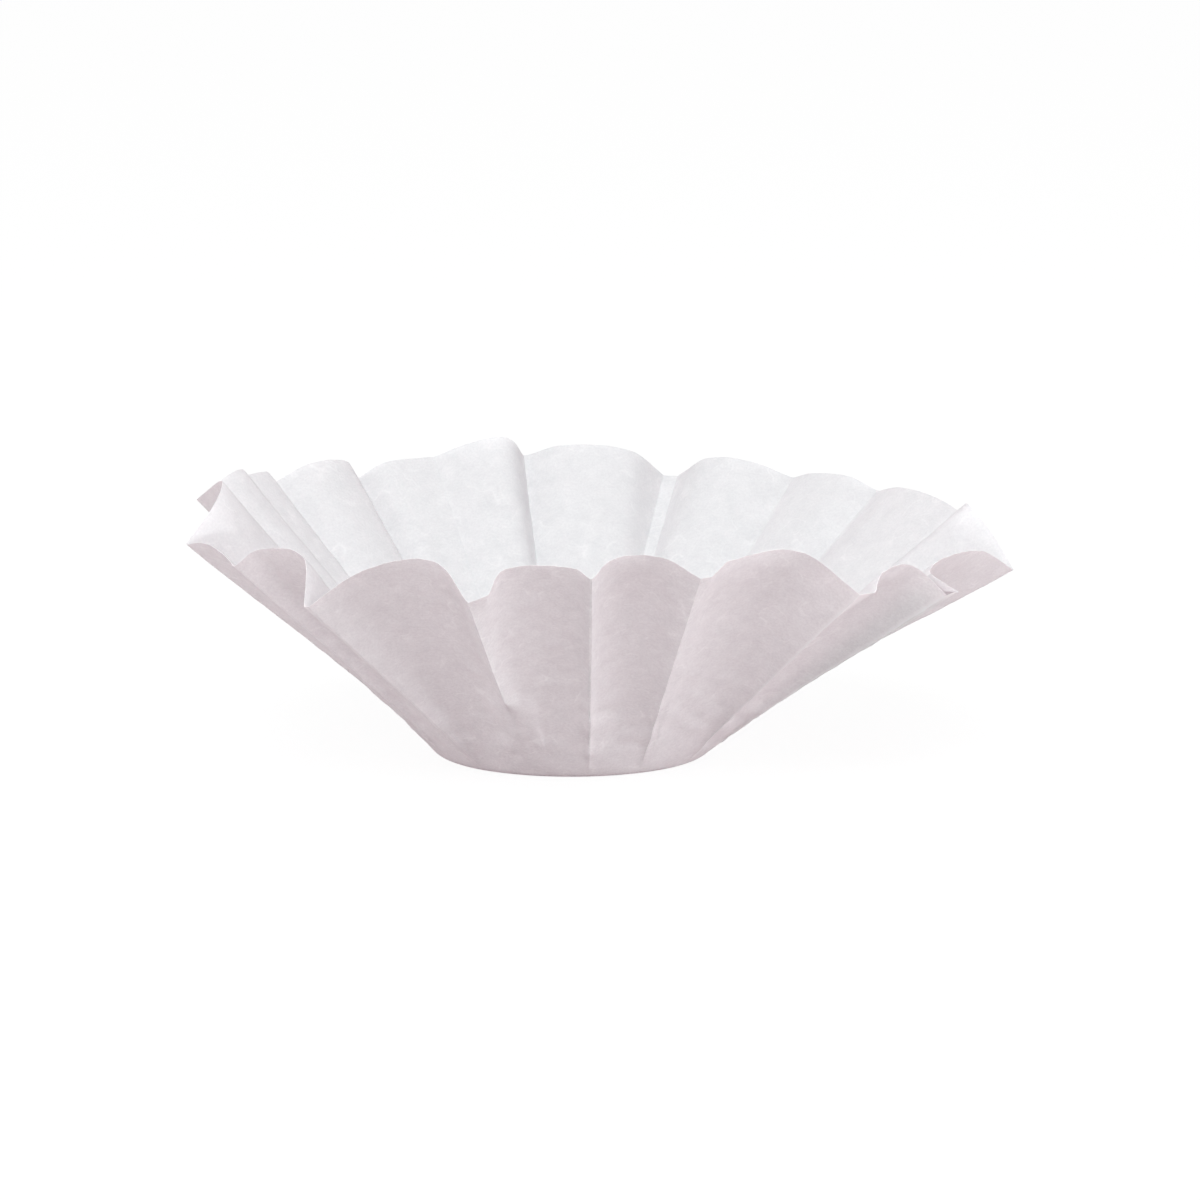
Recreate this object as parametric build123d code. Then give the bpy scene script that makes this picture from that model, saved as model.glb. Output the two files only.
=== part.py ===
from build123d import *
import os
from collections import namedtuple
from math import ceil, cos, radians, sin

# A basket-style coffee filter: one round sheet of bleached paper, pressed into
# a flat-bottomed bowl. The wall is pleated: sharp outward creases, each ending
# in a narrow nose, with wide hollow panels between them. Paper doesn't stretch,
# so the cut edge stays one slant length from the pressed ring, and it dips at
# each nose, where the wall leans out furthest, and rises over each panel. Paper
# bends along straight lines only, so a panel is narrow flat facets between bend
# lines that run from the ring to the cut edge. They fan out from a crease's foot
# on either side, which leaves a flat triangle beside each crease.
# Origin at the middle of the base, +Z up, the deepest front panels towards -Y.
# Lengths in mm, angles in degrees.

# The sheet, from the middle of the base out to the cut edge
PAPER_THICKNESS = 0.2
RING_RADIUS = 28.6          # the pressed ring where the wall starts
EDGE_RADIUS = 4.4           # the rounded edge between the flat base and the ring
EDGE_TURN = 45.0            # how far that edge turns up
SLANT_LENGTH = 71.0         # paper from the ring to the cut edge
OFF_CENTRE = 1.0            # how far left of the sheet's middle the press struck
SIDE_SAG = 1.35             # how far the left and right walls sag inwards

# How finely the bends are divided
BEND_STEP = 2.1             # paper between two bend lines at the cut edge
FAN_SHARE = 0.28            # of a panel's cut edge, fanned from one crease's foot
WALL_ROWS = 4
EDGE_ROWS = 3

# Each flute: the bearing of its crease at the ring and at the cut edge, counted
# from the front towards the right, then the width of its nose and the slope of
# the wall at the nose's two corners. The cut edge of the panel after it turns
# over at two shoulders: each has its place, as a share of the way to the next
# nose, and its slope. A share below zero leans the panel back over its own crease
Flute = namedtuple("Flute", "foot tip width nose corner rise_share rise fall_share fall")
FLUTES = [
    Flute(-40.0, -35.8, 1.0, 35.2, 35.2, 0.28, 42.6, 0.72, 45.1),
    Flute(-17.0, -13.0, 2.5, 37.8, 39.3, 0.12, 44.0, 0.84, 44.2),
    Flute(7.0, 2.7, 1.0, 42.1, 42.1, 0.20, 45.8, 0.66, 45.9),
    Flute(29.0, 17.6, 1.6, 41.5, 41.8, 0.16, 44.5, 0.70, 44.9),
    Flute(56.0, 39.9, 2.6, 36.2, 36.2, 0.24, 39.3, 0.72, 39.4),
    Flute(72.0, 55.6, 3.0, 33.4, 33.4, -0.14, 38.0, 0.52, 38.2),
    Flute(89.0, 84.0, 1.2, 31.9, 31.9, 0.26, 38.0, 0.45, 43.1),
    Flute(109.0, 105.0, 1.0, 37.6, 37.6, 0.36, 40.0, 0.74, 40.7),
    Flute(128.0, 129.1, 1.0, 38.7, 38.7, 0.28, 41.5, 0.76, 41.2),
    Flute(145.0, 145.1, 1.0, 39.6, 39.6, 0.30, 43.0, 0.68, 43.5),
    Flute(165.0, 164.3, 2.2, 38.4, 38.4, 0.22, 45.0, 0.72, 46.6),
    Flute(187.0, 187.3, 1.0, 43.9, 43.9, 0.22, 49.2, 0.56, 48.8),
    Flute(203.0, 202.6, 1.0, 44.6, 44.6, 0.30, 44.6, 0.70, 44.0),
    Flute(216.0, 214.5, 1.0, 40.4, 40.4, 0.22, 45.6, 0.66, 46.5),
    Flute(232.0, 232.3, 1.0, 42.4, 42.4, 0.35, 46.0, 0.70, 46.6),
    Flute(244.0, 243.0, 1.0, 46.6, 46.6, 0.34, 49.6, 0.68, 48.9),
    Flute(258.0, 258.4, 1.0, 44.1, 44.1, 0.54, 52.8, 0.90, 49.2),
    Flute(281.0, 290.3, 1.2, 41.2, 41.2, 0.30, 42.6, 0.70, 42.0),
    Flute(299.0, 307.2, 1.2, 40.2, 40.2, 0.15, 43.8, 0.72, 44.0),
]

# A straight bend line of the wall: its bearing at the ring, its end on the cut edge
BendLine = namedtuple("BendLine", "foot tip")


def spot(bearing, reach, height):
    """A point at this bearing, this far from the axis and above the table."""
    turn = radians(bearing)
    return Vector(reach * sin(turn), -reach * cos(turn), height)


def rounded_edge_spot(bearing, turn, depth):
    """A point of the rounded edge, this far round it and this deep in the paper."""
    middle = RING_RADIUS - EDGE_RADIUS * sin(radians(EDGE_TURN))
    radius = EDGE_RADIUS - depth
    reach = middle + radius * sin(radians(turn))
    return spot(bearing, reach, EDGE_RADIUS - radius * cos(radians(turn)))


def cut_edge_spot(bearing, slope):
    """A point of the cut edge, one slant length up a wall of this slope."""
    slant = SLANT_LENGTH + OFF_CENTRE * sin(radians(bearing))
    rise = spot(bearing, slant * cos(radians(slope)), slant * sin(radians(slope)))
    return rounded_edge_spot(bearing, EDGE_TURN, 0) + rise


def flute_pairs():
    """Every flute with the one after it, the last with the first a turn on."""
    first = FLUTES[0]
    closing = first._replace(foot=first.foot + 360, tip=first.tip + 360)
    return zip(FLUTES, FLUTES[1:] + [closing])


def smooth_run(spots):
    """A smooth curve through these spots, with a cubic arc from each to the next."""
    headings = []
    for place in range(len(spots)):
        before, after = spots[max(place - 1, 0)], spots[min(place + 1, len(spots) - 1)]
        headings.append((after - before).normalized())
    arcs = []
    for place in range(len(spots) - 1):
        start, end = spots[place], spots[place + 1]
        handle = (end - start).length / 3
        leaving = start + headings[place] * handle
        arriving = end - headings[place + 1] * handle
        arcs.append(Edge.make_bezier(start, leaving, arriving, end))
    return Wire(arcs)


def scallop(flute, following):
    """The cut edge of one panel, from a nose over two shoulders to the next nose."""
    leave = flute.tip + flute.width
    run = following.tip - leave
    return smooth_run([
        cut_edge_spot(leave, flute.corner),
        cut_edge_spot(leave + run * flute.rise_share, flute.rise),
        cut_edge_spot(leave + run * flute.fall_share, flute.fall),
        cut_edge_spot(following.tip, following.nose),
    ])


def bend_lines():
    """All the bend lines of the wall in turn, fanned out beside each crease."""
    lines = []
    for flute, following in flute_pairs():
        lines.append(BendLine(flute.foot, cut_edge_spot(flute.tip, flute.nose)))
        corner = flute.foot + flute.width
        curve = scallop(flute, following)
        count = ceil(curve.length / BEND_STEP)
        for step in range(count):
            share = step / count
            along = (share - FAN_SHARE) / (1 - 2 * FAN_SHARE)
            foot = corner + (following.foot - corner) * min(max(along, 0), 1)
            lines.append(BendLine(foot, curve @ share))
    return lines


def wall_spots(line):
    """Points up a bend line from the ring to the cut edge, sagging at the sides."""
    ring = rounded_edge_spot(line.foot, EDGE_TURN, 0)
    wall = line.tip - ring
    outward = Vector(wall.X, wall.Y, 0).normalized()
    sag = (Vector(0, 0, 1) - outward) * SIDE_SAG * outward.X ** 4
    spots = []
    for row in range(WALL_ROWS + 1):
        share = row / WALL_ROWS
        # The sag is full a third of the way up and gone at both ends
        fullness = share * (1 - share) ** 2 * 27 / 4
        spots.append(ring + wall * share + sag * fullness)
    return spots


def sheet_rows(lines, depth):
    """Rows of points over the sheet, this deep in it, from base to cut edge."""
    rows = []
    for row in range(EDGE_ROWS + 1):
        turn = EDGE_TURN * row / EDGE_ROWS
        rows.append([rounded_edge_spot(line.foot, turn, depth) for line in lines])
    walls = [wall_spots(line) for line in lines]
    for row in range(1, WALL_ROWS + 1):
        moved = []
        for place, wall in enumerate(walls):
            along = walls[(place + 1) % len(walls)][row] - walls[place - 1][row]
            inward = (wall[row] - wall[row - 1]).cross(along).normalized()
            moved.append(wall[row] + inward * depth)
        rows.append(moved)
    return rows


def flat_face(corners):
    """A flat face with these corners."""
    return Face(Wire.make_polygon(corners, close=True))


def facets(low, high):
    """Flat facets between two rows, fewer where bend lines share a foot."""
    faces = []
    for place in range(len(low)):
        before, after = low[place - 1], low[place]
        if before != after:
            faces.append(flat_face([before, after, high[place]]))
        if high[place - 1] != high[place]:
            faces.append(flat_face([before, high[place], high[place - 1]]))
    return faces


def flat_base(row):
    """The flat middle of the base, inside the rounded edge's first row."""
    return flat_face([point for place, point in enumerate(row) if point != row[place - 1]])


def make_filter_paper():
    """The whole sheet: two skins one thickness apart, closed along the cut edge."""
    lines = bend_lines()
    outer = sheet_rows(lines, 0)
    inner = sheet_rows(lines, PAPER_THICKNESS)
    faces = facets(outer[-1], inner[-1])
    for rows in (outer, inner):
        faces.append(flat_base(rows[0]))
        for low, high in zip(rows, rows[1:]):
            faces += facets(low, high)
    return Solid(Shell(faces))


def main():
    os.makedirs("parts", exist_ok=True)
    paper = make_filter_paper()
    box = paper.bounding_box()
    print("filter paper", len(FLUTES), "flutes", [round(side, 2) for side in box.size])
    print("valid", paper.is_valid, "volume", round(paper.volume, 1), "faces", len(paper.faces()))
    export_step(paper, "parts/filter_paper.step")


main()
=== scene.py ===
# %% [markdown]
# A paper coffee filter, pressed from one round sheet. The frame holds the CAD
# solid of that sheet, and everything here is placed in the same frame, in
# metres, with the middle of the flat base at the origin and +Z up.

# %% Load the frame
import math

import bpy
import numpy as np
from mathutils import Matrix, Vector, noise


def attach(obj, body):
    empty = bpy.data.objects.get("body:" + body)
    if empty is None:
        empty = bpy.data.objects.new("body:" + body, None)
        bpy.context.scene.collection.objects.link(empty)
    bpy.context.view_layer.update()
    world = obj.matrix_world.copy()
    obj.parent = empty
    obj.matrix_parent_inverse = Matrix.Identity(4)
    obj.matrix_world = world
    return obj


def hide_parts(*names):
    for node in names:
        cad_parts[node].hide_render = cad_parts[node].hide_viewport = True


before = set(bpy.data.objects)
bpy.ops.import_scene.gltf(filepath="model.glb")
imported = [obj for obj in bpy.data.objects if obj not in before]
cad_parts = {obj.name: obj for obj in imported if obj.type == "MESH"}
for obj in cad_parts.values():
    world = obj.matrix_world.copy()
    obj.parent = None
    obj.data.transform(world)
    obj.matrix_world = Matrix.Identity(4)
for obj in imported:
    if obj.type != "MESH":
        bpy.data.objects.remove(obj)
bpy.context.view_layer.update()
scene = bpy.context.scene

# %% [markdown]
# The picture is taken with a long lens from about a metre away, a little above
# the rim, so the near wall hides half of the inside. The camera looks along +Y
# and aims a little to the right of the base, because the wall leans that way.

# %% Camera
MM = 0.001
AIM = Vector((5.8, 0, 31.5)) * MM
DISTANCE = 1040 * MM
ELEVATION = math.radians(9.5)
FRAME_WIDTH = 244.8 * MM    # what the picture takes in at the aim

camera_data = bpy.data.cameras.new("camera")
camera = bpy.data.objects.new("camera", camera_data)
scene.collection.objects.link(camera)
camera.location = AIM + DISTANCE * Vector((0, -math.cos(ELEVATION), math.sin(ELEVATION)))
camera.rotation_euler = (math.pi / 2 - ELEVATION, 0, 0)
camera_data.lens = camera_data.sensor_width * DISTANCE / FRAME_WIDTH
scene.camera = camera
print("lens", round(camera_data.lens, 1), "mm")

# %% [markdown]
# The sheet's own sizes. A real filter is a die-cut disc of thin crinkled paper.
# A press strikes its middle flat and gathers the rest into flutes. A flute is a
# sharp outward crease, which ends in a narrow nose, and the hollow panel after
# it. The paper can't stretch, so a nose that leans far out ends low, and a panel
# that stands steep ends high. One row of numbers a flute says all of that.

# %% Sizes of the sheet
PAPER_THICKNESS = 0.2 * MM
RING_RADIUS = 28.6 * MM     # the pressed ring where the wall starts
EDGE_RADIUS = 4.4 * MM      # the rounded edge between the flat base and the ring
EDGE_TURN = math.radians(45)
SLANT_LENGTH = 71.0 * MM    # paper from the ring to the cut edge
OFF_CENTRE = 1.0 * MM       # how far left of the sheet's middle the press struck
SIDE_SAG = 1.35 * MM        # how far the left and right walls sag inwards

# Bearing of the crease at the ring and at the cut edge, width of its nose, slope
# at the nose's two corners, then place and slope of the panel's two shoulders.
FLUTES = [
    (-40.0, -35.8, 0.6, 35.2, 35.2, 0.28, 42.6, 0.72, 45.1),
    (-17.0, -13.0, 2.5, 37.8, 39.3, 0.12, 44.0, 0.84, 44.2),
    (7.0, 2.7, 0.4, 42.1, 42.1, 0.20, 45.8, 0.66, 45.9),
    (29.0, 17.6, 1.6, 41.5, 41.8, 0.16, 44.5, 0.70, 44.9),
    (56.0, 39.9, 2.6, 36.2, 36.2, 0.24, 39.3, 0.72, 39.4),
    (72.0, 55.6, 3.0, 33.4, 33.4, -0.14, 38.0, 0.52, 38.2),
    (89.0, 84.0, 0.6, 31.9, 31.9, 0.26, 38.0, 0.45, 43.1),
    (109.0, 105.0, 0.6, 37.6, 37.6, 0.36, 40.0, 0.74, 40.7),
    (128.0, 129.1, 0.6, 38.7, 38.7, 0.28, 41.5, 0.76, 41.2),
    (145.0, 145.1, 0.6, 39.6, 39.6, 0.30, 43.0, 0.68, 43.5),
    (165.0, 164.3, 2.2, 38.4, 38.4, 0.22, 45.0, 0.72, 46.6),
    (187.0, 187.3, 0.6, 43.9, 43.9, 0.22, 49.2, 0.56, 48.8),
    (203.0, 202.6, 0.6, 44.6, 44.6, 0.30, 44.6, 0.70, 44.0),
    (216.0, 214.5, 0.6, 40.4, 40.4, 0.22, 45.6, 0.66, 46.5),
    (232.0, 232.3, 0.6, 42.4, 42.4, 0.35, 46.0, 0.70, 46.6),
    (244.0, 243.0, 0.6, 46.6, 46.6, 0.34, 49.6, 0.68, 48.9),
    (258.0, 258.4, 0.6, 44.1, 44.1, 0.54, 52.8, 0.90, 49.2),
    (281.0, 290.3, 0.6, 41.2, 41.2, 0.30, 42.6, 0.70, 42.0),
    (299.0, 307.2, 0.6, 40.2, 40.2, 0.15, 43.8, 0.72, 44.0),
]
print("flutes", len(FLUTES))

# %% [markdown]
# The cut edge comes first, since the scissors-clean line of scallops is what the
# eye follows. It could be drawn freely by hand, but a real edge is everywhere the
# same length of paper from the ring, so every spot of it is found by going one
# slant length up a wall of a known slope.

# %% Spots on the ring and the cut edge
def spot(bearing, reach, height):
    """Points at these bearings, this far from the axis and above the table."""
    turn = np.radians(bearing)
    return np.stack([reach * np.sin(turn), -reach * np.cos(turn), height + 0 * turn], -1)


def rounded_edge_spot(bearing, turn):
    """Points of the rounded edge at these bearings, this far round it."""
    middle = RING_RADIUS - EDGE_RADIUS * math.sin(EDGE_TURN)
    reach = middle + EDGE_RADIUS * math.sin(turn)
    return spot(bearing, reach, EDGE_RADIUS * (1 - math.cos(turn)))


def cut_edge_spot(bearing, slope):
    """A point of the cut edge, one slant length up a wall of this slope."""
    slant = SLANT_LENGTH + OFF_CENTRE * math.sin(math.radians(bearing))
    slope = math.radians(slope)
    rise = spot(bearing, slant * math.cos(slope), slant * math.sin(slope))
    return rounded_edge_spot(bearing, EDGE_TURN) + rise


print("ring height", round(float(rounded_edge_spot(0, EDGE_TURN)[2] / MM), 2), "mm")

# %% [markdown]
# Between two noses the edge is one smooth scallop over two shoulders. A cubic
# arc joins each spot to the next, with handles a third of the way long. The
# whole scallop is then walked in equal paces, so the columns of the mesh lie
# evenly on the paper, as its fibres would.

# %% Walk along the cut edge
PACE = 1.15 * MM            # paper between two columns at the cut edge
FINE_PACES = 40             # points along one cubic arc before it is walked evenly


def smooth_run(spots):
    """Points along cubic arcs through these spots, many more than are needed."""
    ahead = np.array(spots[1:] + spots[-1:])
    behind = np.array(spots[:1] + spots[:-1])
    headings = ahead - behind
    headings /= np.linalg.norm(headings, axis=1, keepdims=True)
    run = []
    for start, end, leaving, arriving in zip(spots, spots[1:], headings, headings[1:]):
        handle = np.linalg.norm(end - start) / 3
        share = np.linspace(0, 1, FINE_PACES)[:, None]
        rest = 1 - share
        arc = start * rest ** 3 + (start + leaving * handle) * 3 * share * rest ** 2
        arc = arc + (end - arriving * handle) * 3 * share ** 2 * rest + end * share ** 3
        run.append(arc)
    return np.concatenate(run)


def even_paces(run, count):
    """This many points a same distance apart along a run, its end left out."""
    gaps = np.linalg.norm(np.diff(run, axis=0), axis=1)
    walked = np.concatenate([[0], np.cumsum(gaps)])
    stops = np.arange(count) / count * walked[-1]
    return np.stack([np.interp(stops, walked, run[:, axis]) for axis in range(3)], -1)


def run_length(run):
    return np.linalg.norm(np.diff(run, axis=0), axis=1).sum()


def scallop(flute, following):
    """The cut edge of one panel, from a nose over two shoulders to the next nose."""
    _, tip, width, _, corner, rise_share, rise, fall_share, fall = flute
    leave = tip + width
    run = following[1] - leave
    return smooth_run([
        cut_edge_spot(leave, corner),
        cut_edge_spot(leave + run * rise_share, rise),
        cut_edge_spot(leave + run * fall_share, fall),
        cut_edge_spot(following[1], following[3]),
    ])


first_scallop = run_length(scallop(FLUTES[0], FLUTES[1]))
print("first scallop", round(float(first_scallop / MM), 1), "mm along the edge")

# %% [markdown]
# Paper bends along straight lines. So each column of the wall is a straight line
# from the ring to the cut edge, and the lines fan out from the foot of a crease
# before they spread over the panel. Where the walls lean out furthest, at the
# left and the right, they sag inwards a little under their own weight.

# %% Bend lines, from the ring to the cut edge
NOSE_COLUMNS = 3
FAN_DEPTH = 0.85            # how closely the lines keep to the foot of a crease


def bend_lines():
    """The foot bearing and the end on the cut edge of every column."""
    feet, tips = [], []
    first = FLUTES[0]
    closing = (first[0] + 360, first[1] + 360) + first[2:]
    for flute, following in zip(FLUTES, FLUTES[1:] + [closing]):
        foot, tip, width, nose = flute[:4]
        curve = scallop(flute, following)
        across = np.arange(NOSE_COLUMNS)[:, None] / NOSE_COLUMNS
        feet.append(foot + width * across[:, 0])
        tips.append(cut_edge_spot(tip, nose) * (1 - across) + curve[0] * across)
        count = math.ceil(run_length(curve) / PACE)
        share = np.arange(count) / count
        spread = share - FAN_DEPTH * np.sin(2 * math.pi * share) / (2 * math.pi)
        feet.append(foot + width + (following[0] - foot - width) * spread)
        tips.append(even_paces(curve, count))
    return np.concatenate(feet), np.concatenate(tips)


def wall_rows(feet, tips, shares):
    """Rows of points at these shares of the way up all the bend lines."""
    ring = rounded_edge_spot(feet, EDGE_TURN)
    wall = tips - ring
    outward = wall * [1, 1, 0]
    outward /= np.linalg.norm(outward, axis=1, keepdims=True)
    sag = ([0, 0, 1] - outward) * SIDE_SAG * outward[:, :1] ** 4
    # The sag is full a third of the way up and gone at both ends
    fullness = shares * (1 - shares) ** 2 * 27 / 4
    return ring + wall * shares[:, None, None] + sag * fullness[:, None, None]


feet, tips = bend_lines()
print("columns", len(feet))

# %% [markdown]
# The columns and the rows make a fine grid, like warp and weft: over the flat
# base, round the pressed edge, and up the wall. A grid that follows the flutes
# lets every crease fall exactly on a column, which no even net could do.

# %% Fine grid of the sheet
BASE_ROWS = 10
EDGE_ROWS = 5
WALL_ROWS = 60

edge_turns = np.linspace(0, EDGE_TURN, EDGE_ROWS + 1)
edge_rows = np.array([rounded_edge_spot(feet, turn) for turn in edge_turns])
base_shares = np.linspace(0, 1, BASE_ROWS + 1)[1:-1]
base_rows = edge_rows[0] * base_shares[:, None, None]
wall_shares = np.linspace(0, 1, WALL_ROWS + 1)[1:]
grid = np.concatenate([base_rows, edge_rows, wall_rows(feet, tips, wall_shares)])
print("grid", grid.shape)

# %% [markdown]
# Not every crease runs all the way down. The second one from the left dies out
# before it reaches the ring, where the press had gathered less paper. Its lower
# end is rubbed smooth by averaging neighbouring columns, more and more towards
# the ring, which is also what a thumb does to a fold in paper.

# %% A crease that dies out
FADING_FLUTE = 1
FADE_FROM, FADE_TO = 0.32, 0.43     # shares of the wall, up from the ring
CLOSE_AT = 0.41                     # where its nose has narrowed to a point
CLOSE_SHARE = 0.9                   # of the nose's width, pulled together there
CLOSE_COLUMNS = 14                  # columns that the pull is spread over
RUB_COLUMNS = 9                     # columns to either side that are averaged
RUB_NEAR, RUB_FAR = 4, 9            # degrees from the crease: rubbed in full, not at all


def smooth_step(value, low, high):
    """0 up to the low value, 1 from the high value on, with a soft ramp between."""
    share = np.clip((value - low) / (high - low), 0, 1)
    return share * share * (3 - 2 * share)


first_wall_row = len(grid) - WALL_ROWS
up_share = np.concatenate([np.zeros(first_wall_row), wall_shares])
nose = int(np.argmin(np.abs(feet - FLUTES[FADING_FLUTE][0])))
pull = grid[:, nose] - grid[:, nose + NOSE_COLUMNS]
pull *= (CLOSE_SHARE * (1 - np.clip((up_share - CLOSE_AT) / (1 - CLOSE_AT), 0, 1)))[:, None]
pull *= smooth_step(up_share, 0, FADE_FROM)[:, None]
for step in range(1, CLOSE_COLUMNS):
    weight = min(step / NOSE_COLUMNS, (CLOSE_COLUMNS - step) / (CLOSE_COLUMNS - NOSE_COLUMNS))
    grid[:, nose + step] += pull * weight
from_crease = np.abs(feet - FLUTES[FADING_FLUTE][0] - FLUTES[FADING_FLUTE][2] / 2)
near_crease = 1 - smooth_step(from_crease, RUB_NEAR, RUB_FAR)
rub = (1 - smooth_step(up_share, FADE_FROM, FADE_TO))[:, None] * near_crease
shifts = range(-RUB_COLUMNS, RUB_COLUMNS + 1)
rubbed = sum(np.roll(grid, shift, axis=1) for shift in shifts) / len(shifts)
rubbed[:first_wall_row] = grid[:first_wall_row]
grid += (rubbed - grid) * rub[:, :, None]
print("columns rubbed", int((near_crease > 0).sum()))

# %% [markdown]
# Beside the sharp creases at the front the paper is dished: it falls back at once
# on the crease's right and then runs flat. That narrow flank is what catches the
# light from the side. On the crease that dies out, the flank takes in the whole
# nose, so it reads as one bright wedge that ends in a point.

# %% Dished flanks
# panel, share of its width from the crease to the deepest line, and the depth there
FLANKS = [(0, 0.25, 0.4 * MM), (2, 0.42, 1.3 * MM), (3, 0.22, 1.1 * MM), (4, 0.25, 0.8 * MM)]
FLAT_SHARE = 0.9            # of the panel's width, where the paper runs flat again
DISH_FULL, DISH_FADES = 0.3, 0.75   # shares of the wall: as deep as it gets, from and to
WEDGE_DEPTHS = {1: 0.7 * MM, 3: 0.4 * MM, 4: 0.4 * MM}      # by panel
WEDGE_COLUMNS = 8
WEDGE_RISE = 0.2            # share of the wall that a wedge takes to open
WEDGE_END = 6               # the higher, the closer to the cut edge it closes again
panel_starts = [int(np.argmin(np.abs(feet - flute[0] - flute[2]))) for flute in FLUTES]


def square_to(points):
    """Unit vectors square to the sheet, towards the inside, for every grid point."""
    along = np.roll(points, -1, axis=1) - np.roll(points, 1, axis=1)
    upward = np.gradient(points, axis=0)
    normals = np.cross(upward, along)
    return normals / np.linalg.norm(normals, axis=2, keepdims=True)


inward = square_to(grid)
for panel, flank_share, depth in FLANKS:
    start, end = panel_starts[panel], panel_starts[panel + 1] - NOSE_COLUMNS
    walked = np.linalg.norm(np.diff(grid[:, start:end + 1], axis=1), axis=2).cumsum(axis=1)
    across = walked / walked[:, -1:]
    dish = smooth_step(across, -flank_share, flank_share) * 2 - 1
    dish *= 1 - smooth_step(across, flank_share, FLAT_SHARE)
    level = smooth_step(up_share, 0, DISH_FULL) * (1 - smooth_step(up_share, DISH_FADES, 1))
    dish *= level[:, None]
    grid[:, start + 1:end + 1] += inward[:, start + 1:end + 1] * (dish * depth)[:, :, None]
for panel, depth in WEDGE_DEPTHS.items():
    ridge = panel_starts[panel] - NOSE_COLUMNS
    end = ridge + WEDGE_COLUMNS
    opens_at = CLOSE_AT if panel == FADING_FLUTE else 0
    open_share = smooth_step(up_share, opens_at, opens_at + WEDGE_RISE)
    open_share = open_share * (1 - up_share ** WEDGE_END)
    for step in range(1, WEDGE_COLUMNS):
        share = step / WEDGE_COLUMNS
        spots = grid[:, ridge] * (1 - share) + grid[:, end] * share
        spots += inward[:, end] * depth * 4 * share * (1 - share)
        grid[:, ridge + step] += (spots - grid[:, ridge + step]) * open_share[:, None]
print("dished panels", len({flank[0] for flank in FLANKS} | set(WEDGE_DEPTHS)))

# %% [markdown]
# Thin paper that has been packed in a stack and pulled open is never smooth. It
# keeps long soft waves that run up the wall, a fine crinkle, and puckers low on
# the wall where the press gathered it. The waves are laid out by where the paper
# lay on the flat disc, so they follow it into its folds. All three move the grid
# square to the sheet by a fraction of a millimetre.

# %% Waves, crinkle and puckers
DISC_RADIUS = RING_RADIUS + SLANT_LENGTH
WAVE, WAVE_WIDTH, WAVE_LENGTH = 0.16 * MM, 9 * MM, 40 * MM
CRINKLE, CRINKLE_SIZE = 0.11 * MM, 3.5 * MM
PUCKER, PUCKER_SIZE = 0.22 * MM, 6 * MM
PUCKER_SHIFT = 7.3          # keeps the puckers from repeating the crinkle
PUCKERS_FULL, PUCKERS_FADE, PUCKERS_END = 0.08, 0.2, 0.5    # shares of the wall
WAVES_FULL = 0.25           # share of the wall from which the waves are full


def field(places, height_at):
    """The height at every place of a grid."""
    heights = [height_at(Vector(place)) for place in places.reshape(-1, 3)]
    return np.array(heights).reshape(places.shape[:2])


def soft(place):
    """Long swellings with smaller ones on them."""
    return noise.noise(place) + 0.4 * noise.noise(place * 2.3)


def creased(place):
    """Sharp low creases between soft swellings."""
    return 0.5 - 2.5 * abs(noise.noise(place)) - 0.8 * abs(noise.noise(place * 2.1))


disc_turn = 2 * math.pi * np.arange(len(feet)) / len(feet)
disc_reach = np.concatenate([
    RING_RADIUS * np.append(base_shares, np.ones(EDGE_ROWS + 1)),
    RING_RADIUS + SLANT_LENGTH * wall_shares,
])
around = np.stack([np.cos(disc_turn), np.sin(disc_turn)], -1) * DISC_RADIUS
reach = np.broadcast_to(disc_reach[:, None], grid.shape[:2])
disc = np.stack([
    np.broadcast_to(around[:, 0], reach.shape), np.broadcast_to(around[:, 1], reach.shape), reach,
], -1)
waves = field(disc / [WAVE_WIDTH, WAVE_WIDTH, WAVE_LENGTH], soft) * WAVE
crinkle = field(grid / CRINKLE_SIZE, creased) * CRINKLE
pucker_share = smooth_step(up_share, 0, PUCKERS_FULL)
pucker_share = pucker_share * (1 - smooth_step(up_share, PUCKERS_FADE, PUCKERS_END))
puckers = field(grid / PUCKER_SIZE + PUCKER_SHIFT, creased) * PUCKER * pucker_share[:, None]
looseness = smooth_step(up_share, 0, WAVES_FULL)[:, None]
heights = waves * looseness + crinkle * up_share[:, None] ** 0.5 + puckers
grid += square_to(grid) * heights[:, :, None]
grid[:, :, 2] = np.maximum(grid[:, :, 2], 0)
print("largest wave", round(float(np.abs(waves).max() / MM), 2), "mm")

# %% [markdown]
# The front of this one has a few marks of its own, where fingers pinched it while
# the stack was fanned: short raised crinkles across the panels, at most a few
# millimetres long. Each is a little curved ridge, placed by panel, by share of the
# way across it, and by share of the way up the wall.

# %% Pinch marks
MARK_HEIGHT, MARK_WIDTH = 0.30 * MM, 0.85 * MM
# panel, share across, share up the wall, half length in mm, tilt in degrees
PINCH_MARKS = [
    (0, 0.56, 0.80, 1.8, 8), (0, 0.72, 0.80, 1.6, -6), (0, 0.76, 0.73, 2.8, -4),
    (0, 0.80, 0.59, 3.0, 12), (0, 0.62, 0.46, 2.4, -20), (1, 0.40, 0.84, 2.4, 4),
    (1, 0.38, 0.80, 2.0, -4), (1, 0.48, 0.62, 1.8, 20), (1, 0.45, 0.44, 3.8, 6),
    (2, 0.55, 0.80, 1.5, 15), (2, 0.48, 0.55, 1.6, -15), (3, 0.35, 0.76, 1.6, 20),
    (3, 0.42, 0.60, 1.8, -12), (3, 0.30, 0.42, 3.2, -20), (3, 0.55, 0.40, 3.4, 14),
]


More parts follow.
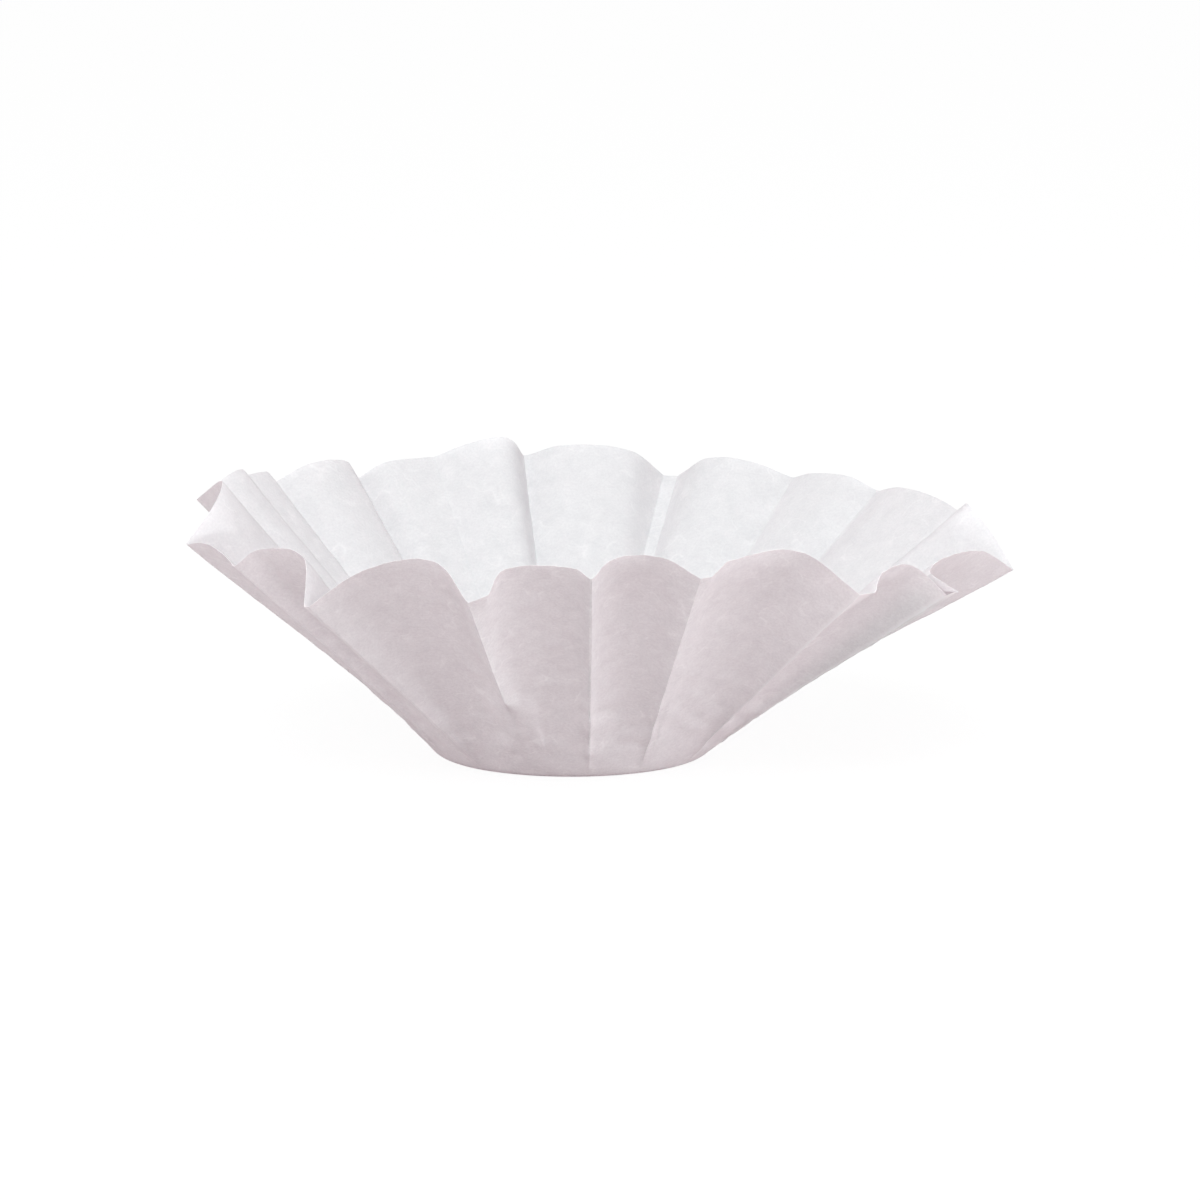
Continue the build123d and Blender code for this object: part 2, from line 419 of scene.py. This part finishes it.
def mark_bump(points, panel, across, up, half_length, tilt):
    """Height of one curved ridge at every grid point."""
    start, end = panel_starts[panel], panel_starts[panel + 1]
    column = round(start + (end - start) * across)
    row = round(first_wall_row + WALL_ROWS * up)
    middle = points[row, column]
    along = points[row, column + 1] - points[row, column - 1]
    along /= np.linalg.norm(along)
    upward = points[row + 1, column] - points[row - 1, column]
    upward -= along * (upward @ along)
    upward /= np.linalg.norm(upward)
    turn = math.radians(tilt)
    offset = points - middle
    side = offset @ (along * math.cos(turn) + upward * math.sin(turn)) / (half_length * MM)
    cross = offset @ (upward * math.cos(turn) - along * math.sin(turn)) / MARK_WIDTH
    return np.exp(-side ** 2 - (cross + side ** 2) ** 2)


marks = sum(mark_bump(grid, *mark) for mark in PINCH_MARKS)
grid -= square_to(grid) * (marks * MARK_HEIGHT)[:, :, None]
print("pinch marks", len(PINCH_MARKS))

# %% [markdown]
# The grid becomes a closed sheet: an outer skin, an inner skin one paper
# thickness further in, and a narrow strip along the cut edge. A surface with no
# thickness would be quicker, but real thickness lets the piece be measured like
# the paper it stands for. The die that cuts the disc crushes the paper under its
# blade, so the edge itself is thinner than the sheet. Two attributes go along
# with the points: which skin they are on, for the painted shade of the outer skin, and which crease
# noses get a painted highlight.

# %% Sheet mesh
EDGE_CRUSH = 0.3            # share of the thickness that the die leaves at the cut edge
HIGHLIGHT_CREASES = [0, 4, 5, 18]        # flutes whose crease nose is painted whiter, a painted highlight


def sheet_mesh(outer):
    """Both skins and the cut edge, from the grid of the outer skin."""
    depth = np.full(outer.shape[:2] + (1,), PAPER_THICKNESS)
    depth[-1] *= EDGE_CRUSH
    inner = outer + square_to(outer) * depth
    levels, columns = outer.shape[:2]
    points = np.concatenate([outer.reshape(-1, 3), inner.reshape(-1, 3)])
    faces = []
    skin = levels * columns

    def quad(level, column, start, flip):
        after = (column + 1) % columns
        low, high = start + level * columns, start + (level + 1) * columns
        loop = (low + column, low + after, high + after, high + column)
        return loop[::-1] if flip else loop

    for level in range(levels - 1):
        for column in range(columns):
            faces.append(quad(level, column, 0, False))
            faces.append(quad(level, column, skin, True))
    top = (levels - 1) * columns
    for column in range(columns):
        after = (column + 1) % columns
        faces.append((top + column, top + after, skin + top + after, skin + top + column))
    faces.append(tuple(range(columns))[::-1])
    faces.append(tuple(skin + column for column in range(columns)))
    mesh = bpy.data.meshes.new("filter_paper_sheet")
    mesh.from_pydata(points.tolist(), [], faces)
    mesh.shade_smooth()
    # The inside attribute marks the inner skin. The shader uses it to paint the outer skin in
    # shade, darker and rosier, and the inner one lit white.
    side = mesh.attributes.new("inside", "FLOAT", "POINT")
    side.data.foreach_set("value", np.repeat([0.0, 1.0], skin))
    # Painted highlight: the nose columns of these creases are marked on both skins, to be painted
    # whiter where light catches the fold.
    painted_highlight = np.zeros((2, levels, columns))
    for panel in HIGHLIGHT_CREASES:
        ridge = panel_starts[panel] - NOSE_COLUMNS
        painted_highlight[:, first_wall_row:, ridge:ridge + NOSE_COLUMNS] = 1
    highlight_attribute = mesh.attributes.new("painted_highlight", "FLOAT", "POINT")
    highlight_attribute.data.foreach_set("value", painted_highlight.ravel())
    return mesh


paper_mesh = sheet_mesh(grid)
paper = bpy.data.objects.new("pleated_sheet", paper_mesh)
scene.collection.objects.link(paper)
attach(paper, "root")
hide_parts("filter_paper")
print("sheet", len(paper_mesh.vertices), "points", len(paper_mesh.polygons), "faces")

# %% [markdown]
# Creases catch light because the paper turns sharply there. The mesh is shaded
# smooth inside each panel, and edges that bend by more than a set angle are
# marked sharp, so crumple stays soft and folds stay crisp.

# %% Crisp creases
CREASE_ANGLE = math.radians(28)
paper_mesh.set_sharp_from_angle(angle=CREASE_ANGLE)

# %% [markdown]
# Shader maths is easier to read as sums than as boxes and wires. This small
# class wraps a socket, so that adding or multiplying two of them adds the node
# that does it.

# %% Node maths
class Wire:
    """One output socket of a material's node tree, with arithmetic."""

    def __init__(self, tree, socket):
        self.tree, self.socket = tree, socket

    def add(self, kind, settings=None, **values):
        node = self.tree.nodes.new(kind)
        for name, value in (settings or {}).items():
            setattr(node, name, value)
        for name, value in values.items():
            slot = int(name[1:]) if name[0] == "_" else name.replace("_", " ")
            self.feed(node.inputs[slot], value)
        return node

    def feed(self, socket, value):
        if isinstance(value, Wire):
            self.tree.links.new(value.socket, socket)
        else:
            socket.default_value = value

    def out(self, kind, output, settings=None, **values):
        return Wire(self.tree, self.add(kind, settings, **values).outputs[output])

    def maths(self, operation, left, right):
        return self.out("ShaderNodeMath", 0, {"operation": operation}, _0=left, _1=right)

    def __add__(self, other):
        return self.maths("ADD", self, other)

    def __sub__(self, other):
        return self.maths("SUBTRACT", self, other)

    def __rsub__(self, other):
        return self.maths("SUBTRACT", other, self)

    def __mul__(self, other):
        return self.maths("MULTIPLY", self, other)

    def clipped(self):
        """This value, kept between 0 and 1."""
        return self.maths("MAXIMUM", self.maths("MINIMUM", self, 1.0), 0.0)

    def mix(self, low, high):
        """This value as the factor between two colours."""
        node = self.add("ShaderNodeMix", {"data_type": "RGBA"})
        self.feed(node.inputs["Factor"], self)
        for socket, colour in ((node.inputs[6], low), (node.inputs[7], high)):
            self.feed(socket, colour)
        return Wire(self.tree, node.outputs[2])


def new_material(name):
    """A bare material, a Wire to build its nodes with, and its output node."""
    material = bpy.data.materials.new(name)
    material.use_nodes = True
    tree = material.node_tree
    tree.nodes.clear()
    output = tree.nodes.new("ShaderNodeOutputMaterial")
    return material, Wire(tree, None), output


# %% [markdown]
# Bleached filter paper is a thin felt of fibres. It is matt, it has cloudy thick
# and thin places with stray curled fibres, and it lets a good part of the light
# through. What comes through is a little pinker than what is thrown back, and
# that is why the outside of a filter lit from within looks rosy grey beside its
# white inside. The outer skin is also painted a darker, rosier grey than the
# inner one, which is painted shade on the same paper, and a few crease noses are
# painted whiter as a painted highlight. So the surface is an ordinary matt shader
# mixed with a translucent one. The sheet has two skins, and light crosses both, so each skin alone
# passes quite a lot.

# %% Bleached paper
# Painted shade: the outside colours are a darker, rosier copy of the inside ones, which is shade
# painted onto the outer skin of one and the same paper.
SHADED_OUTSIDE_WHITE = (0.98, 1.0, 1.0, 1)
SHADED_OUTSIDE_CLOUD = (0.74, 0.775, 0.785, 1)
LIT_INSIDE_WHITE = (0.94, 1.0, 1.0, 1)
LIT_INSIDE_CLOUD = (0.76, 0.85, 0.855, 1)
# Painted highlight on a few crease noses.
HIGHLIGHT_WHITE = (0.96, 1.0, 1.0, 1)
THROUGH_LIGHT = (0.98, 0.74, 0.79, 1)
THROUGH_SHARE = 0.26        # of the light, passed on by one skin
THROUGH_SPREAD = 0.08       # how far cloudy and clear places differ in that
CLOUD_SHARE, FIBRE_SHARE = 0.4, 0.6
TONE_GAIN, TONE_BASE = 2.4, 0.7     # spread the noise, which stays close to a half
CURL_THINNESS = 36.0        # the higher, the finer the curled fibres are drawn
CURL_PLACES, CURL_FADE = 0.54, 10.0     # how rare they are, and how soon they fade
CURL_WHITE = 0.3            # how far towards white a fibre stands out


def bleached_paper():
    """Matt felt of fibres on both sides, the outside painted in shade, a few creases painted with
    highlights, and some of the light passed through.
    """
    material, wire, output = new_material("bleached_paper")
    place = wire.out("ShaderNodeTexCoord", "Object")
    clouds = wire.out(
        "ShaderNodeTexNoise", "Fac", Vector=place, Scale=300.0, Detail=4.0, Roughness=0.7,
    )
    fibres = wire.out(
        "ShaderNodeTexNoise", "Fac", Vector=place, Scale=2000.0, Detail=3.0, Roughness=0.7,
    )
    winding = wire.out("ShaderNodeTexNoise", "Fac", Vector=place, Scale=170.0, Detail=1.0)
    patches = wire.out("ShaderNodeTexNoise", "Fac", Vector=place, Scale=240.0, Detail=0.0)
    off_middle = wire.maths("ABSOLUTE", winding - 0.5, 0.0)
    curls = (1 - off_middle * CURL_THINNESS).clipped()
    curls = curls * ((patches - CURL_PLACES) * CURL_FADE).clipped()
    tone = (clouds * CLOUD_SHARE + fibres * FIBRE_SHARE) * TONE_GAIN - TONE_BASE
    tone = tone - curls * CURL_WHITE
    # Painted shade: the outer skin takes the shaded colours and the inner skin the lit ones.
    side = wire.out("ShaderNodeAttribute", "Fac", {"attribute_name": "inside"})
    colour = side.mix(
        tone.mix(SHADED_OUTSIDE_WHITE, SHADED_OUTSIDE_CLOUD), tone.mix(LIT_INSIDE_WHITE, LIT_INSIDE_CLOUD),
    )
    # Painted highlight: these crease noses are painted whiter.
    painted_highlight = wire.out("ShaderNodeAttribute", "Fac", {"attribute_name": "painted_highlight"})
    colour = painted_highlight.mix(colour, HIGHLIGHT_WHITE)
    bump = wire.out("ShaderNodeBump", "Normal", Strength=0.2, Distance=0.0002, Height=tone)
    matt = wire.out(
        "ShaderNodeBsdfPrincipled", "BSDF", Base_Color=colour, Roughness=0.9,
        Normal=bump, Specular_IOR_Level=0.15,
    )
    through = wire.out("ShaderNodeBsdfTranslucent", "BSDF", Color=THROUGH_LIGHT, Normal=bump)
    share = tone * THROUGH_SPREAD + THROUGH_SHARE
    sheet = wire.out("ShaderNodeMixShader", "Shader", _0=share, _1=matt, _2=through)
    wire.feed(output.inputs["Surface"], sheet)
    return material


paper_mesh.materials.append(bleached_paper())
print("material", paper_mesh.materials[0].name)

# %% [markdown]
# The ground in the photograph is pure white without a horizon. A strip of seamless
# card would do that in a studio. Here the floor is a matt grey sheet, so it throws
# only a little plain light up under the filter. To the camera alone it also glows,
# which takes it to white but leaves the soft shadow at the base.

# %% Floor
FLOOR_SIZE = 8.0            # metres
FLOOR_GAP = 0.02 * MM       # under the base, so the two never lie in one plane
FLOOR_COLOUR = (0.35, 0.35, 0.35, 1)
FLOOR_GLOW_SHARE = 0.7      # of what the camera sees of the floor
FLOOR_GLOW = 1.32


def plain_floor():
    """A large matt square that also glows a little to the camera."""
    half = FLOOR_SIZE / 2
    mesh = bpy.data.meshes.new("floor")
    corners = [(-half, -half, 0), (half, -half, 0), (half, half, 0), (-half, half, 0)]
    mesh.from_pydata(corners, [], [(0, 1, 2, 3)])
    floor = bpy.data.objects.new("floor", mesh)
    floor.location.z = -FLOOR_GAP
    scene.collection.objects.link(floor)
    material, wire, output = new_material("floor_white")
    path = wire.add("ShaderNodeLightPath")
    seen = Wire(wire.tree, path.outputs["Is Camera Ray"])
    matt = wire.out("ShaderNodeBsdfDiffuse", "BSDF", Color=FLOOR_COLOUR)
    glow = wire.out("ShaderNodeEmission", "Emission", Color=(1, 1, 1, 1), Strength=FLOOR_GLOW)
    ground = wire.out("ShaderNodeMixShader", "Shader", _0=seen * FLOOR_GLOW_SHARE, _1=matt, _2=glow)
    wire.feed(output.inputs["Surface"], ground)
    mesh.materials.append(material)
    return floor


print("floor", plain_floor().name)

# %% [markdown]
# Behind the floor lies a plain white world. It is full white to the camera, to
# gloss and to glass, while it lights the paper at six tenths of that, so the lamps
# have room to shape the flutes before anything turns blank.

# %% White world
WORLD_LIGHT = 0.60


def white_world():
    """White where it is seen, and dimmer where it only lights the paper."""
    world = bpy.data.worlds.new("world")
    world.use_nodes = True
    scene.world = world
    tree = world.node_tree
    tree.nodes.clear()
    output = tree.nodes.new("ShaderNodeOutputWorld")
    wire = Wire(tree, None)
    path = wire.add("ShaderNodeLightPath")
    seen = Wire(tree, path.outputs["Is Camera Ray"]) + Wire(tree, path.outputs["Is Glossy Ray"])
    seen = seen + Wire(tree, path.outputs["Is Transmission Ray"])
    lit = wire.out("ShaderNodeBackground", "Background", Color=(1, 1, 1, 1), Strength=WORLD_LIGHT)
    white = wire.out("ShaderNodeBackground", "Background", Color=(1, 1, 1, 1), Strength=1.0)
    shader = wire.out("ShaderNodeMixShader", "Shader", _0=seen, _1=lit, _2=white)
    wire.feed(output.inputs["Surface"], shader)


white_world()
print("world", scene.world.name)

# %% [markdown]
# Four soft lamps. The key stands in front and above, and shines into the bowl, so
# the back wall is the brightest place. The other three are long low strips that
# stand at the floor in front, at the right and at the left. They only stroke along
# the outside: they light the low front and the flanks beside the creases, which is
# how the eye tells one flute from the next, and the walls keep them out of the bowl.

# %% Lamps
# direction from the base, distance in metres, width and height in metres, level
KEY = ((-0.1, -0.7, 0.85), 1.6, (1.0, 1.0), 0.66)
FRONT = ((0.0, -1.0, 0.015), 1.0, (0.8, 0.03), 0.33)
RIGHT_STRIP = ((1.0, -0.30, 0.018), 0.55, (0.4, 0.02), 0.46)
LEFT_STRIP = ((-1.0, -0.1, 0.018), 0.55, (0.4, 0.02), 0.30)


def soft_lamp(name, towards, distance, size, level):
    """A flat lamp whose light, falling straight on a surface, adds this level."""
    data = bpy.data.lights.new(name, "AREA")
    data.shape = "RECTANGLE"
    data.size, data.size_y = size
    data.energy = level * (math.pi * distance) ** 2
    lamp = bpy.data.objects.new(name, data)
    lamp.location = Vector(towards).normalized() * distance
    lamp.rotation_euler = (-lamp.location).to_track_quat("-Z", "Y").to_euler()
    scene.collection.objects.link(lamp)
    return lamp


for lamp in (
    soft_lamp("key", *KEY),
    soft_lamp("front", *FRONT),
    soft_lamp("right_strip", *RIGHT_STRIP),
    soft_lamp("left_strip", *LEFT_STRIP),
):
    print(lamp.name, round(lamp.data.energy, 2), "W")

# %% [markdown]
# Last, the picture's colours are left as they are written.

# %% Finish
scene.view_settings.view_transform = "Standard"
